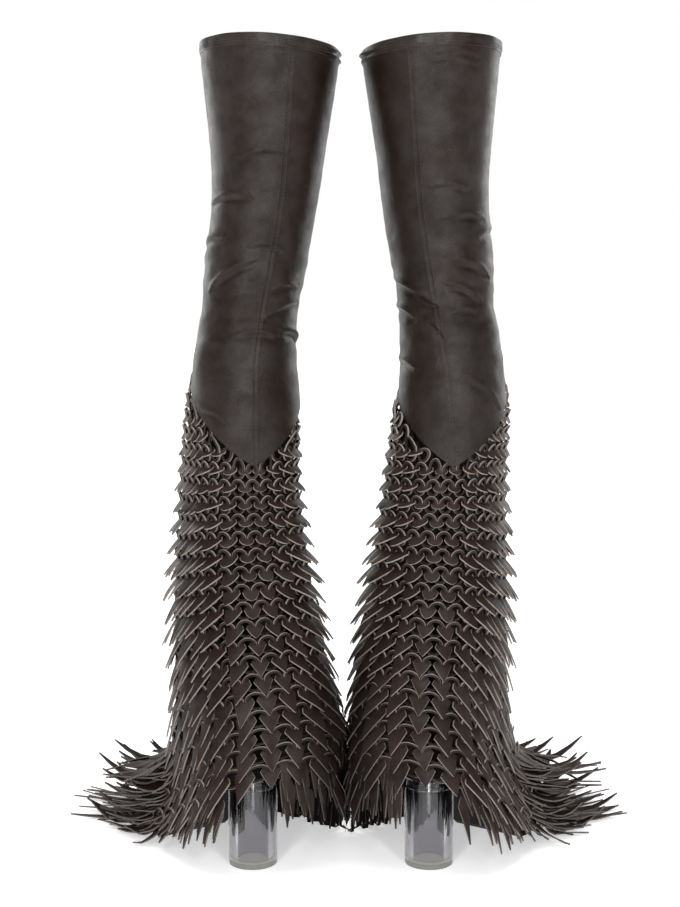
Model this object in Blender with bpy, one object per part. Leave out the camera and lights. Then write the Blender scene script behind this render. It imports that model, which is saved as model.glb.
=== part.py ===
"""A pair of thigh-high leather boots with bell bottoms of interlocked leather links.

Metres, +Z up, toes towards +Y. Every shape is worked out for one boot in its own plan:
"out" runs sideways away from the other boot, "ahead" runs along +Y, both from the middle
of the heel. The left boot mirrors "out". A sewn piece is a patch of a smooth surface,
solid between two depths. Stacked pieces lie 0.3 mm apart, plies of a sewn wall 0.9 mm.
"""

import math

import bpy
from mathutils import Vector

# ---- driving dimensions ----------------------------------------------------------------
SIDES = {"left": -1.0, "right": 1.0}
HEEL_FROM_MIDDLE = {"left": 0.1016, "right": 0.0816}    # heel centre to the pair's middle
SEAM_TWIST_LOW = {"left": math.radians(12), "right": math.radians(3)}   # seam, at the V
SEAM_TWIST_HIGH = math.radians(20)                       # seam, at the hem: turned inwards
PANEL_SEAM = math.radians(-15)                           # where the halves of the leg meet
TOE_OUT = math.radians(36)

GAP = 0.0003                                             # between two stacked pieces
PLY_GAP = 0.0009                                         # between two plies of a sewn wall
ROUND = 24                                               # flats round a sewn ring

HEEL_RADIUS = 0.0255
HEEL_TOP = 0.0925
HEEL_EDGE = 0.0008                                       # polished edges of the heel
LIFT_HEIGHT = 0.006
LIFT_INSET = 0.0006
SCREW_SHANK_RADIUS = 0.0022
SCREW_HEAD_RADIUS = 0.0045
SCREW_HEAD_HEIGHT = 0.0016
SCREW_END = 0.052

TOE_END = 0.196                                          # heel centre to toe tip
SOLE_THICK = 0.0038
HEEL_HALF_WIDTH = 0.0255
WAIST_NARROWER = 0.0035
FOREFOOT_WIDER = 0.0195
TOE_ROUND = 0.066                                        # length of the almond toe
ARCH_RUN = 0.102                                         # from the heel to the ball
TOE_SPRING = 0.006
SHANK_THICK = 0.0012
INSOLE_THICK = 0.0020
SOCK_THICK = 0.0010
SHANK_ENDS, SHANK_HALF_WIDTH = (0.004, 0.108), 0.007
INSOLE_INSET, SOCK_INSET = 0.0060, 0.0062                # inside the outsole's edge
SOLE_STATIONS = (-0.021, -0.012, 0.004, HEEL_RADIUS + GAP, 0.038, 0.052, 0.066, 0.08, 0.094,
                 0.108, 0.122, 0.135, 0.165, 0.178, 0.188)
FOOT_ROUND = 2 * (len(SOLE_STATIONS) + 1)                # flats round the foot's upper
UPPER_THICK = 0.0016
STIFFENER_THICK = 0.0011
ANKLE_TOP = 0.172
UPPER_WALL, TOE_WALL_LOWER, VAMP_RISE = 0.034, 0.006, 0.010
STIFFENER_FLATS = 4                                      # counter and puff, each way

LEATHER = 0.0014
SLEEVE_THICK = 0.0010
HEM_TOP = 0.8415
HEM_DEEP = 0.012
HEM_PLIES = 2.2                                          # the folded hem, in leathers
GRIP_DEEP = 0.032
GRIP_THICK = 0.0009
KNEE_LOW, KNEE_HIGH = 0.530, 0.672                       # the stretch that bends
V_LOW, V_HIGH = 0.405, 0.524                             # leather's lower edge: back, front

COLUMNS = 26                                             # links in one row
ROWS = 25
TIERS = 8                                                # each tier is a band of link rows
MAIL_TOP, MAIL_BACK_HEM = 0.520, 0.085
MAIL_THICK = 0.0022
MAIL_CLEAR = 0.0005                                      # links to the bell's own surface
MAIL_STEP = 0.0075                                       # how far tails stand off the next tier
TIER_CLEAR = 0.0098                                      # last tier's tails, above the fringe
FRINGE_REACH = 0.066                                     # the long tails that lie on the floor
FRINGE_THICK = 0.0026
FRINGE_STAND = 0.0020                                    # the tails' bend, out from the bell
FLOOR_CLEAR = 0.0008
PAIR_CLEAR = 0.0030                                      # each bell to the plane where they meet
MEETING = -0.006                                         # that plane, from the pair's middle
BELL_SQUARE = 2.3                                        # 2 is an ellipse; more is squarer

# leg sleeve: height, middle from the pair's middle, ahead, half width, half depth
LEG = [
    (0.120, None, 0.040, 0.0330, 0.0420),
    (0.200, None, 0.034, 0.0350, 0.0400),
    (0.300, 0.104, 0.031, 0.0420, 0.0450),
    (0.400, 0.107, 0.032, 0.0530, 0.0555),
    (0.473, 0.1078, 0.036, 0.0560, 0.0585),
    (0.525, 0.1080, 0.044, 0.0538, 0.0575),
    (0.576, 0.1031, 0.052, 0.0502, 0.0560),
    (0.628, 0.0969, 0.057, 0.0538, 0.0600),
    (0.680, 0.0894, 0.056, 0.0547, 0.0615),
    (0.731, 0.0860, 0.054, 0.0582, 0.0660),
    (0.825, 0.0830, 0.052, 0.0685, 0.0745),
    (0.860, 0.0820, 0.052, 0.0715, 0.0770),
]
# bell: level at the back, middle from the pair's middle, ahead, radius back, side, front
BELL = [
    (0.085, 0.0980, 0.034, 0.0830, 0.0840, 0.2120),
    (0.130, 0.0980, 0.032, 0.0790, 0.0780, 0.1680),
    (0.170, 0.0985, 0.031, 0.0760, 0.0740, 0.1310),
    (0.220, 0.1030, 0.030, 0.0735, 0.0715, 0.1070),
    (0.300, 0.1120, 0.031, 0.0690, 0.0680, 0.0920),
    (0.400, 0.1100, 0.033, 0.0645, 0.0620, 0.0760),
    (0.470, 0.1080, 0.037, 0.0645, 0.0615, 0.0680),
    (0.540, 0.1070, 0.046, 0.0645, 0.0605, 0.0660),
]
FRONT_DROP = 0.081                                       # how much lower the front hem lies
COLUMN_DRIFT = 0.30                                      # columns open at the back hem


# ---- curves ----------------------------------------------------------------------------
def smooth_step(t):
    t = min(max(t, 0.0), 1.0)
    return t * t * (3.0 - 2.0 * t)


def along(table, key, column):
    """Reads one column of a table at a height, on a smooth curve through its rows."""
    key = min(max(key, table[0][0]), table[-1][0])
    i = max(j for j in range(len(table) - 1) if table[j][0] <= key)

    def slope(j):
        low, high = max(j - 1, 0), min(j + 1, len(table) - 1)
        return (table[high][column] - table[low][column]) / (table[high][0] - table[low][0])

    span = table[i + 1][0] - table[i][0]
    t = (key - table[i][0]) / span
    a, b = table[i][column], table[i + 1][column]
    return (
        a * (1 + 2 * t) * (1 - t) ** 2
        + slope(i) * span * t * (1 - t) ** 2
        + b * t * t * (3 - 2 * t)
        - slope(i + 1) * span * t * t * (1 - t)
    )


def opened(level):
    """How far the bell has opened: 0 at the leather's point, 1 at the back hem."""
    return smooth_step((V_LOW - level) / (V_LOW - MAIL_BACK_HEM))


class Boot:
    """The surfaces of one boot, in metres from the middle of its heel on the floor."""

    def __init__(self, side):
        self.side = side
        self.sign = SIDES[side]
        self.heel = HEEL_FROM_MIDDLE[side]
        self.leg_table = [
            (z, (0.0 if x is None else x - self.heel), y, rx, ry) for z, x, y, rx, ry in LEG
        ]
        self.inner_room = self.heel - self.sign * MEETING     # heel to the other boot's bell
        self.bell_table = [
            (z, x - self.heel + self.sign * MEETING * opened(z), y, back, across, front)
            for z, x, y, back, across, front in BELL
        ]

    def world(self, out, ahead, z):
        return Vector((self.sign * (self.heel + out), ahead, z))

    # the leather leg: angle 0 is the middle of the back, positive turns outwards
    def leg(self, angle, z):
        out = along(self.leg_table, z, 1) + along(self.leg_table, z, 3) * math.sin(angle)
        ahead = along(self.leg_table, z, 2) - along(self.leg_table, z, 4) * math.cos(angle)
        return Vector((out, ahead, z))

    def seam(self, z):
        low = SEAM_TWIST_LOW[self.side]
        return -(low + (SEAM_TWIST_HIGH - low) * smooth_step((z - 0.43) / 0.22))

    def hem_edge(self, angle):
        """The top edge: a little lower towards the other leg."""
        return HEM_TOP + 0.003 * math.cos(angle) + 0.0042 * math.sin(angle)

    def v_edge(self, angle):
        """The leather's lower edge: a point at the back seam that rises to the shin."""
        turn = abs((angle - self.seam(V_LOW) + math.pi) % (2 * math.pi) - math.pi)
        return V_LOW + (V_HIGH - V_LOW) * math.sin(turn / 2) ** 1.6

    def v_turn(self, z):
        """How far from the back seam the leather's lower edge reaches a height."""
        share = min(max((z - V_LOW) / (V_HIGH - V_LOW), 0.0), 1.0)
        return 2 * math.asin(share ** (1 / 1.6))

    # the bell of links: share 0..1 goes once round from the back, outwards first
    def bell(self, share, level):
        table = self.bell_table
        angle = 2 * math.pi * share + COLUMN_DRIFT * opened(level) * math.sin(2 * math.pi * share)
        turn = angle - (math.pi - TOE_OUT)
        reach = along(table, level, 5 if math.cos(turn) > 0 else 3)
        side = along(table, level, 4)
        power = BELL_SQUARE
        square = abs(math.cos(turn) / reach) ** power + abs(math.sin(turn) / side) ** power
        radius = square ** (-1 / power)
        front = ((1 + math.cos(turn)) / 2) ** 1.2
        below = max(V_LOW - level, 0.0) / (V_LOW - MAIL_BACK_HEM)
        return Vector((
            along(table, level, 1) + radius * math.sin(angle),
            along(table, level, 2) - radius * math.cos(angle),
            level - FRONT_DROP * below * front,
        ))

    # the foot: share 0..1 goes round the sole from the back, height 0..1 goes up
    def sole_outline(self, share):
        stops = (-HEEL_RADIUS, *SOLE_STATIONS, TOE_END)
        place = share % 1.0 * FOOT_ROUND
        place = min(place, FOOT_ROUND - place)
        i = min(int(place), len(stops) - 2)
        s = stops[i] + (stops[i + 1] - stops[i]) * (place - i)
        return s, math.copysign(sole_half_width(s), math.sin(2 * math.pi * share))

    def foot_place(self, along_foot, across, z):
        """Turns a place on the foot, which points outwards, into the boot's own plan."""
        out = along_foot * math.sin(TOE_OUT) + across * math.cos(TOE_OUT)
        ahead = along_foot * math.cos(TOE_OUT) - across * math.sin(TOE_OUT)
        return Vector((out, ahead, z))

    def foot(self, share, height):
        s, w = self.sole_outline(share)
        base = self.foot_place(s, w, sole_bottom(s) + SOLE_THICK + PLY_GAP)
        toe = smooth_step((s - 0.05) / 0.13)
        wall = base + Vector((0, 0, UPPER_WALL - TOE_WALL_LOWER * toe))
        ankle = self.leg(2 * math.pi * share - TOE_OUT, ANKLE_TOP)
        if height <= 0.3:
            return base.lerp(wall, height / 0.3)
        t = (height - 0.3) / 0.7
        lift = Vector((0, 0, VAMP_RISE * toe * math.sin(math.pi * t)))
        return wall.lerp(ankle, t) + lift


def sole_half_width(s, inset=0.0):
    """Half the sole's width: round heel seat, narrow waist, wide forefoot, almond toe."""
    waist = HEEL_HALF_WIDTH - WAIST_NARROWER * smooth_step((s - 0.01) / 0.05)
    half = waist + FOREFOOT_WIDER * smooth_step((s - 0.065) / 0.065) - inset

    def rounded(distance, reach):
        left = max(1 - distance / reach, 0.0)
        return math.sqrt(max(1 - left * left, 0.0))

    heel_end = rounded(s + HEEL_RADIUS - inset, HEEL_RADIUS)
    return half * heel_end * rounded(TOE_END - inset - s, TOE_ROUND)


def sole_bottom(s):
    """The height of the sole's lower face: level on the heel, level under the ball."""
    rise = HEEL_TOP + GAP
    slope = 1 - smooth_step((s - HEEL_RADIUS) / ARCH_RUN)
    spring = TOE_SPRING * smooth_step((s - 0.165) / 0.04)
    return rise * slope + spring


# ---- making solids ---------------------------------------------------------------------
def material(name, colour, roughness, metallic=0.0, clear=0.0):
    made = bpy.data.materials.get(name) or bpy.data.materials.new(name)
    made.use_nodes = True
    shader = made.node_tree.nodes["Principled BSDF"]
    shader.inputs["Base Color"].default_value = (*colour, 1.0)
    shader.inputs["Roughness"].default_value = roughness
    shader.inputs["Metallic"].default_value = metallic
    shader.inputs["Transmission Weight"].default_value = clear
    return made


def finish(name, boot, vertices, faces, look, cutters=()):
    """Turns boot-plan points into one closed object with its faces pointing out."""
    mesh = bpy.data.meshes.new(name)
    if boot.sign < 0:
        faces = [tuple(reversed(face)) for face in faces]
    mesh.from_pydata([boot.world(*p) for p in vertices], [], faces)
    mesh.update()
    made = bpy.data.objects.new(name, mesh)
    bpy.context.scene.collection.objects.link(made)
    made.parent = bpy.data.objects["pair"]
    mesh.materials.append(look)
    mesh.shade_smooth()
    mesh.set_sharp_from_angle(angle=math.radians(40))
    for cutter in cutters:
        cut = made.modifiers.new("cut", "BOOLEAN")
        cut.operation = "DIFFERENCE"
        cut.solver = "EXACT"
        cut.object = cutter
    return made


def walled(name, boot, outer, inner, ring, look, cutters=(), split=False):
    """A wall between two grids of points. Rows run upwards; a ring closes on itself.
    A strongly twisted wall is split into triangles."""
    rows, columns = len(outer), len(outer[0])
    count = rows * columns
    points = [p for row in outer for p in row] + [p for row in inner for p in row]

    def at(side, row, column):
        return side * count + row * columns + column % columns

    faces = []
    steps = columns if ring else columns - 1
    for row in range(rows - 1):
        for column in range(steps):
            a, b = at(0, row, column), at(0, row, column + 1)
            c, d = at(0, row + 1, column + 1), at(0, row + 1, column)
            faces += [(a, b, c, d), (d + count, c + count, b + count, a + count)]
        if not ring:
            for column, flip in ((0, True), (columns - 1, False)):
                a, b = at(0, row, column), at(0, row + 1, column)
                face = (a, a + count, b + count, b)
                faces.append(tuple(reversed(face)) if flip else face)
    for row, flip in ((0, False), (rows - 1, True)):
        for column in range(steps):
            a, b = at(0, row, column), at(0, row, column + 1)
            face = (b, a, a + count, b + count)
            faces.append(tuple(reversed(face)) if flip else face)
    if split:
        faces = [part for a, b, c, d in faces for part in ((a, b, c), (a, c, d))]
    return finish(name, boot, points, faces, look, cutters)


def deeper(surface, u, v, depth, step=1e-3):
    """A surface point moved to a depth below the surface, square to it."""
    across = surface(u + step, v) - surface(u - step, v)
    up = surface(u, v + step) - surface(u, v - step)
    return surface(u, v) - across.cross(up).normalized() * depth


def layered(name, boot, surface, grid, depths, ring, look, cutters=()):
    """A sewn piece: rows of (u, v) on a surface, solid between two depths."""
    near, far = (
        [[deeper(surface, u, v, depth) for u, v in row] for row in grid] for depth in depths
    )
    return walled(name, boot, near, far, ring, look, cutters)


def turned(name, boot, profile, sides, look, cutters=()):
    """A round solid about the heel's upright axis; the profile runs from bottom to top."""
    outer = [
        [(r * math.sin(2 * math.pi * i / sides), -r * math.cos(2 * math.pi * i / sides), z)
         for i in range(sides)]
        for r, z in profile
    ]
    points = [p for row in outer for p in row]
    faces = [
        (row * sides + i, row * sides + (i + 1) % sides,
         (row + 1) * sides + (i + 1) % sides, (row + 1) * sides + i)
        for row in range(len(profile) - 1) for i in range(sides)
    ]
    faces.append(tuple(reversed(range(sides))))
    faces.append(tuple(range((len(profile) - 1) * sides, len(profile) * sides)))
    return finish(name, boot, points, faces, look, cutters)


def bore(name, boot, radius, low, high):
    """A hidden cutter for the screw's hole."""
    cutter = turned(name, boot, [(radius, low), (radius, high)], 16, material("cutter", (1, 0, 0), 1))
    cutter.hide_render = True
    cutter.display_type = "WIRE"
    return cutter


# ---- heel and sole ---------------------------------------------------------------------
def heel(boot):
    clear = material("clear_acrylic", (0.93, 0.95, 0.94), 0.03, clear=1.0)
    edge = HEEL_EDGE
    hole = bore(f"{boot.side}_heel_bore", boot, SCREW_SHANK_RADIUS + GAP, SCREW_END - 0.001, 0.2)
    turned(f"{boot.side}_heel", boot, [
        (HEEL_RADIUS - edge, LIFT_HEIGHT + GAP),
        (HEEL_RADIUS, LIFT_HEIGHT + GAP + edge),
        (HEEL_RADIUS, HEEL_TOP - edge),
        (HEEL_RADIUS - edge, HEEL_TOP),
    ], 32, clear, [hole])
    return hole


def top_lift(boot):
    grey = material("top_lift_rubber", (0.30, 0.31, 0.28), 0.45)
    turned(f"{boot.side}_top_lift", boot, [
        (HEEL_RADIUS - 2 * LIFT_INSET, 0.0),
        (HEEL_RADIUS - LIFT_INSET, LIFT_INSET),
        (HEEL_RADIUS - LIFT_INSET, LIFT_HEIGHT),
    ], 32, grey)


def screw(boot):
    steel = material("screw_steel", (0.55, 0.55, 0.56), 0.3, metallic=1.0)
    seat = insole_low(0.0) + INSOLE_THICK + GAP
    turned(f"{boot.side}_heel_screw", boot, [
        (0.0006, SCREW_END),
        (SCREW_SHANK_RADIUS, SCREW_END + 0.006),
        (SCREW_SHANK_RADIUS, seat),
        (SCREW_HEAD_RADIUS, seat),
        (SCREW_HEAD_RADIUS - 0.0008, seat + SCREW_HEAD_HEIGHT),
    ], 16, steel)


def insole_low(s):
    return sole_bottom(s) + SOLE_THICK + SHANK_THICK + 2 * GAP


def flat_layer(name, boot, low, thick, inset, look, cutters=(), start=None, end=None, half=None):
    """A sheet that follows the sole's arch, between two distances along the foot."""
    start = -HEEL_RADIUS + inset + 0.0006 if start is None else start
    end = TOE_END - inset - 0.0006 if end is None else end
    stations = [start] + [s for s in SOLE_STATIONS if start + 0.003 < s < end - 0.003] + [end]
    rows = [(s, half or sole_half_width(s, inset)) for s in stations]
    top, bottom = (
        [[boot.foot_place(s, side * wide, low(s) + up) for side in (-1, 1)] for s, wide in rows]
        for up in (thick, 0.0)
    )
    return walled(name, boot, top, bottom, False, look, cutters)


def sole_stack(boot, hole):
    brown = material("sole_leather", (0.055, 0.045, 0.040), 0.6)
    board = material("insole_board", (0.30, 0.22, 0.15), 0.85)
    steel = material("shank_steel", (0.45, 0.45, 0.46), 0.35, metallic=1.0)
    lining = material("lining_leather", (0.16, 0.12, 0.10), 0.7)
    name = boot.side
    flat_layer(f"{name}_outsole", boot, sole_bottom, SOLE_THICK, 0.0, brown, [hole])
    flat_layer(f"{name}_shank", boot, lambda s: sole_bottom(s) + SOLE_THICK + GAP, SHANK_THICK,
               0.0, steel, start=SHANK_ENDS[0], end=SHANK_ENDS[1], half=SHANK_HALF_WIDTH)
    flat_layer(f"{name}_insole_board", boot, insole_low, INSOLE_THICK, INSOLE_INSET, board, [hole])
    over_screw = INSOLE_THICK + SCREW_HEAD_HEIGHT + 2 * GAP
    flat_layer(f"{name}_sock_lining", boot, lambda s: insole_low(s) + over_screw, SOCK_THICK,
               SOCK_INSET, lining)


# ---- foot upper ------------------------------------------------------------------------
def ring_grid(rows, columns):
    return [[(i / columns, v) for i in range(columns)] for v in rows]


def patch_grid(rows, start, end, steps):
    return [[(start + (end - start) * i / steps, v) for i in range(steps + 1)] for v in rows]


def foot_pieces(boot):
    brown = material("upper_leather", (0.045, 0.036, 0.032), 0.5)
    fibre = material("stiffener_fibre", (0.35, 0.27, 0.18), 0.8)
    ring = ring_grid((0.0, 0.3, 0.55, 0.78, 1.0), FOOT_ROUND)
    layered(f"{boot.side}_foot_upper", boot, boot.foot, ring, (0.0, UPPER_THICK), True, brown)
    under = UPPER_THICK + 1.5 * PLY_GAP
    inside = (under, under + STIFFENER_THICK)
    reach, steps = STIFFENER_FLATS / FOOT_ROUND, 2 * STIFFENER_FLATS
    back = patch_grid((0.14, 0.3, 0.55), -reach, reach, steps)
    front = patch_grid((0.16, 0.3, 0.55), 0.5 - reach, 0.5 + reach, steps)
    layered(f"{boot.side}_heel_counter", boot, boot.foot, back, inside, False, fibre)
    layered(f"{boot.side}_toe_puff", boot, boot.foot, front, inside, False, fibre)


# ---- leather leg -----------------------------------------------------------------------
def leg_panel(name, boot, half, low, high, levels, look):
    """One half of the leg's leather, from the back seam to the front seam."""
    steps = ROUND // 2
    room = GAP / 0.05
    grid = []
    for level in range(levels + 1):
        row = []
        for i in range(steps + 1):
            turn = min(max(math.pi * i / steps, room), math.pi - room)
            angle = PANEL_SEAM + half * turn
            bottom, top = low(angle), high(angle)
            row.append((angle, bottom + (top - bottom) * level / levels))
        grid.append(row if half > 0 else row[::-1])
    layered(name, boot, boot.leg, grid, (0.0, LEATHER), False, look)


def leg_ring(name, boot, low, high, levels, depths, look):
    grid = []
    for level in range(levels + 1):
        angles = [PANEL_SEAM + 2 * math.pi * i / ROUND for i in range(ROUND)]
        grid.append([(a, low(a) + (high(a) - low(a)) * level / levels) for a in angles])
    layered(name, boot, boot.leg, grid, depths, True, look)


def leg_pieces(boot):
    brown = material("shaft_leather", (0.045, 0.036, 0.032), 0.45)
    knit = material("sleeve_knit", (0.02, 0.018, 0.017), 0.9)
    grip = material("grip_rubber", (0.03, 0.03, 0.03), 0.7)

    def below_hem(angle):
        return boot.hem_edge(angle) - HEM_DEEP

    for half, where in ((1, "outer"), (-1, "inner")):
        leg_panel(f"{boot.side}_calf_{where}_panel", boot, half, boot.v_edge,
                  lambda angle: KNEE_LOW, 4, brown)
        leg_panel(f"{boot.side}_thigh_{where}_panel", boot, half, lambda angle: KNEE_HIGH,
                  lambda angle: below_hem(angle) - GAP, 4, brown)
    leg_ring(f"{boot.side}_knee_leather", boot, lambda a: KNEE_LOW + GAP,
             lambda a: KNEE_HIGH - GAP, 4, (0.0, LEATHER), brown)
    leg_ring(f"{boot.side}_top_hem", boot, below_hem, boot.hem_edge, 1,
             (0.0, HEM_PLIES * LEATHER), brown)
    inside = LEATHER + PLY_GAP
    leg_ring(f"{boot.side}_grip_band", boot, lambda a: below_hem(a) - GRIP_DEEP,
             lambda a: below_hem(a) - GAP, 1, (inside, inside + GRIP_THICK), grip)
    leg_ring(f"{boot.side}_inner_sleeve", boot, lambda a: ANKLE_TOP + 4 * GAP,
             lambda a: KNEE_LOW - GAP, 7, (inside, inside + SLEEVE_THICK), knit)


# ---- bell of links ---------------------------------------------------------------------
def row_level(row):
    """The height at the back of a row of links; the pitch grows a little downwards."""
    even = (MAIL_TOP - MAIL_BACK_HEM) / ROWS
    grow = 0.065 * even * row * (row - ROWS) / ROWS
    return MAIL_TOP - even * row - grow


def mail_tier(boot, number, look):
    """A band of link rows: a ring whose lower edge is cut into a tail for each column."""
    per_tier = ROWS / TIERS
    first, last = number * per_tier, (number + 1) * per_tier
    valley, tip = row_level(last - 0.1), row_level(last + 0.9)
    if number == TIERS - 1:
        valley, tip = MAIL_BACK_HEM + 0.010, MAIL_BACK_HEM
    apart = boot.v_turn(valley + 0.008) / (2 * math.pi)
    ring = valley + 0.008 < V_LOW
    steps = 2 * COLUMNS
    lower, upper = [], []
    for i in range(steps if ring else steps + 1):
        share = i / steps
        if not ring:
            share = boot.seam(V_LOW) / (2 * math.pi) + apart + (1 - 2 * apart) * share
        tooth = i % 2 == (number % 2 if ring else 1)
        under_v = boot.v_edge(2 * math.pi * share) - 0.002
        lower.append((share, tip if tooth else valley, MAIL_STEP * (1.25 if tooth else 1.0)))
        upper.append((share, min(row_level(first), under_v), 0.0))
    outer, inner = (
        [[deeper(boot.bell, u, v, -stand - out) for u, v, out in row] for row in (lower, upper)]
        for stand in (MAIL_CLEAR + MAIL_THICK, MAIL_CLEAR)
    )
    for point in outer[0] + inner[0]:
        point.z = max(point.z, TIER_CLEAR)
        point.x = max(point.x, PAIR_CLEAR - boot.inner_room)
    walled(f"{boot.side}_mail_tier_{number + 1}", boot, outer, inner, ring, look,
           split=True)


def floor_fringe(boot, look):
    """The long last tails: they hang over the heel and lie on the floor round the toes."""
    top, under = [[], [], []], [[], [], []]
    steps = 2 * COLUMNS
    for i in range(steps):
        share = i / steps
        ring = boot.bell(share, MAIL_BACK_HEM)
        front = (MAIL_BACK_HEM - ring.z) / FRONT_DROP
        away = ring - deeper(boot.bell, share, MAIL_BACK_HEM + 0.01, 0.01)
        away = Vector((away.x, away.y, 0)).normalized()
        root = deeper(boot.bell, share, MAIL_BACK_HEM + 0.024, 0.0010)
        bend = ring.z - 0.008
        reach = 0.004 + FRINGE_REACH * smooth_step(1.5 * front)
        fall = 0.012 + 0.045 * smooth_step(3 * front)
        if i % 2:
            reach, fall = 0.35 * reach, 0.35 * fall
        low = FLOOR_CLEAR + FRINGE_THICK
        places = (root, Vector((ring.x, ring.y, max(bend, low))) + away * FRINGE_STAND,
                  Vector((ring.x, ring.y, max(bend - fall, low))) + away * (FRINGE_STAND + reach))
        for level, place in enumerate(places):
            flat = smooth_step(2.5 * front) if level else 0.0
            inward = -away * FRINGE_THICK * (1 - flat) + Vector((0, 0, -FRINGE_THICK * flat))
            below = place + inward
            for point in (place, below):
                point.x = max(point.x, PAIR_CLEAR - boot.inner_room)
            if level == 2 and place.x == below.x:
                below.z -= FRINGE_THICK * (1 - flat)
            top[level].append(place)
            under[level].append(below)
    walled(f"{boot.side}_floor_fringe", boot, top[::-1], under[::-1], True, look, split=True)


def centre(pair):
    """Puts the origin on the floor under the middle of the pair's box."""
    bpy.context.view_layer.update()
    corners = [p.matrix_world @ Vector(c) for p in pair.children if not p.hide_render
               for c in p.bound_box]
    for axis in (0, 1):
        values = [corner[axis] for corner in corners]
        pair.location[axis] = -(min(values) + max(values)) / 2


def build():
    for old in list(bpy.data.objects):
        bpy.data.objects.remove(old, do_unlink=True)
    pair = bpy.data.objects.new("pair", None)
    bpy.context.scene.collection.objects.link(pair)
    for side in SIDES:
        boot = Boot(side)
        hole = heel(boot)
        top_lift(boot)
        screw(boot)
        sole_stack(boot, hole)
        foot_pieces(boot)
        leg_pieces(boot)
        mail = material("link_leather", (0.040, 0.031, 0.029), 0.5)
        for number in range(TIERS):
            mail_tier(boot, number, mail)
        floor_fringe(boot, mail)
    centre(pair)


build()
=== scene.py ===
"""The looks of the pair of bell-bottom boots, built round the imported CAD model.

Each boot is worked out in its own plan: "out" runs sideways away from the other boot,
"ahead" towards the toes, both from the middle of the heel. The bell's links are placed on
a lattice of columns and rows that lies on the bell's surface.
"""

import random
from math import asin, cos, exp, pi, radians, sin

import bpy
import numpy as np
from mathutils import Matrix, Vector, noise


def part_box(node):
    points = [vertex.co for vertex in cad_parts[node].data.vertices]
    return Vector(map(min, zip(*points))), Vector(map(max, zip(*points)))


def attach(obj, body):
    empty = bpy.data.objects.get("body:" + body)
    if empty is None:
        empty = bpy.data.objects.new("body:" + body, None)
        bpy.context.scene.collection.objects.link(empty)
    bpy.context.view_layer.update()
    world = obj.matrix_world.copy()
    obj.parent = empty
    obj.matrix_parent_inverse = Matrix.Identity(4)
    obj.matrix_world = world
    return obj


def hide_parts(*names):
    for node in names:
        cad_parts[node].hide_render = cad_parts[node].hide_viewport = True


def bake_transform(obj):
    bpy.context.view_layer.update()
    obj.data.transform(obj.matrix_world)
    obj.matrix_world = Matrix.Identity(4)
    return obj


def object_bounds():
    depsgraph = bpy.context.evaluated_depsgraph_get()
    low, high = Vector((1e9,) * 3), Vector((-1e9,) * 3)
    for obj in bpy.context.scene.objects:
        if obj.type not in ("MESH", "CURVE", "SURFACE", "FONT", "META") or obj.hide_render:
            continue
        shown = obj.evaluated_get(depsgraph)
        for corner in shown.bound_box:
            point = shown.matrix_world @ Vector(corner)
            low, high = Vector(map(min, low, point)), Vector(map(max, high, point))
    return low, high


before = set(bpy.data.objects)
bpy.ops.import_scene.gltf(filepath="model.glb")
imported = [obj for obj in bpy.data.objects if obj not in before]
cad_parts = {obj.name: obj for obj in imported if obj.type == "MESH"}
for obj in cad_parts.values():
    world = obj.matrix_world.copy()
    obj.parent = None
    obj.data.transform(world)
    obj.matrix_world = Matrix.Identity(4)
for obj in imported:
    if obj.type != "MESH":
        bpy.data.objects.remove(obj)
FRAME_SIZE = [list(corner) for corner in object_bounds()]

TURN = 2 * pi
MM = 0.001  # the tables are in millimetres
UP = np.array([0.0, 0.0, 1.0])

# ---- dimensions shared with the CAD source ----
SIDES = {"left": -1.0, "right": 1.0}
HEEL_FROM_MIDDLE = {"left": 0.1016, "right": 0.0816}
SEAM_TWIST_LOW = {"left": radians(12), "right": radians(3)}
SEAM_TWIST_HIGH = radians(20)
TOE_OUT = radians(36)
HEEL_RADIUS, HEEL_TOP = 0.0255, 0.0925
TOE_END, SOLE_THICK, ANKLE_TOP = 0.196, 0.0038, 0.172
HEM_TOP, HEM_DEEP = 0.8415, 0.012
KNEE_LOW, KNEE_HIGH = 0.53, 0.672
V_LOW, V_HIGH = 0.405, 0.524
COLUMNS, ROWS, TIERS = 26, 25, 8
MAIL_TOP, MAIL_BACK_HEM = 0.52, 0.085
MEETING, BELL_SQUARE, FRONT_DROP, COLUMN_DRIFT = -0.006, 2.3, 0.081, 0.3
PAIR_CLEAR, PRESS = 0.0005, 0.002

# the leg in the boot: level, centre to the side and ahead, half width and half depth
LEG_OUT, LEG_AHEAD, LEG_WIDE, LEG_DEEP = 1, 2, 3, 4
LEG = MM * np.array([
    (120, 0, 40, 33, 42),
    (200, 0, 34, 35, 40),
    (300, 104, 31, 42, 45),
    (400, 107, 32, 53, 55.5),
    (473, 107.8, 36, 56, 58.5),
    (525, 108, 44, 53.8, 57.5),
    (576, 103.1, 52, 50.2, 56),
    (628, 96.9, 57, 53.8, 60),
    (680, 89.4, 56, 55, 61.5),
    (731, 86, 54, 59.2, 66),
    (825, 83, 52, 70.3, 74.5),
    (860, 82, 52, 73.8, 77),
])
OVER_HEEL_ROWS = 2  # first rows: measured from the heel, not the pair's middle
LEG_OUTWARDS = {"left": 0.002, "right": -0.0035}  # the knees stand a little askew
ASKEW_LEVEL, ASKEW_SPREAD = 0.54, 0.1

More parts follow.
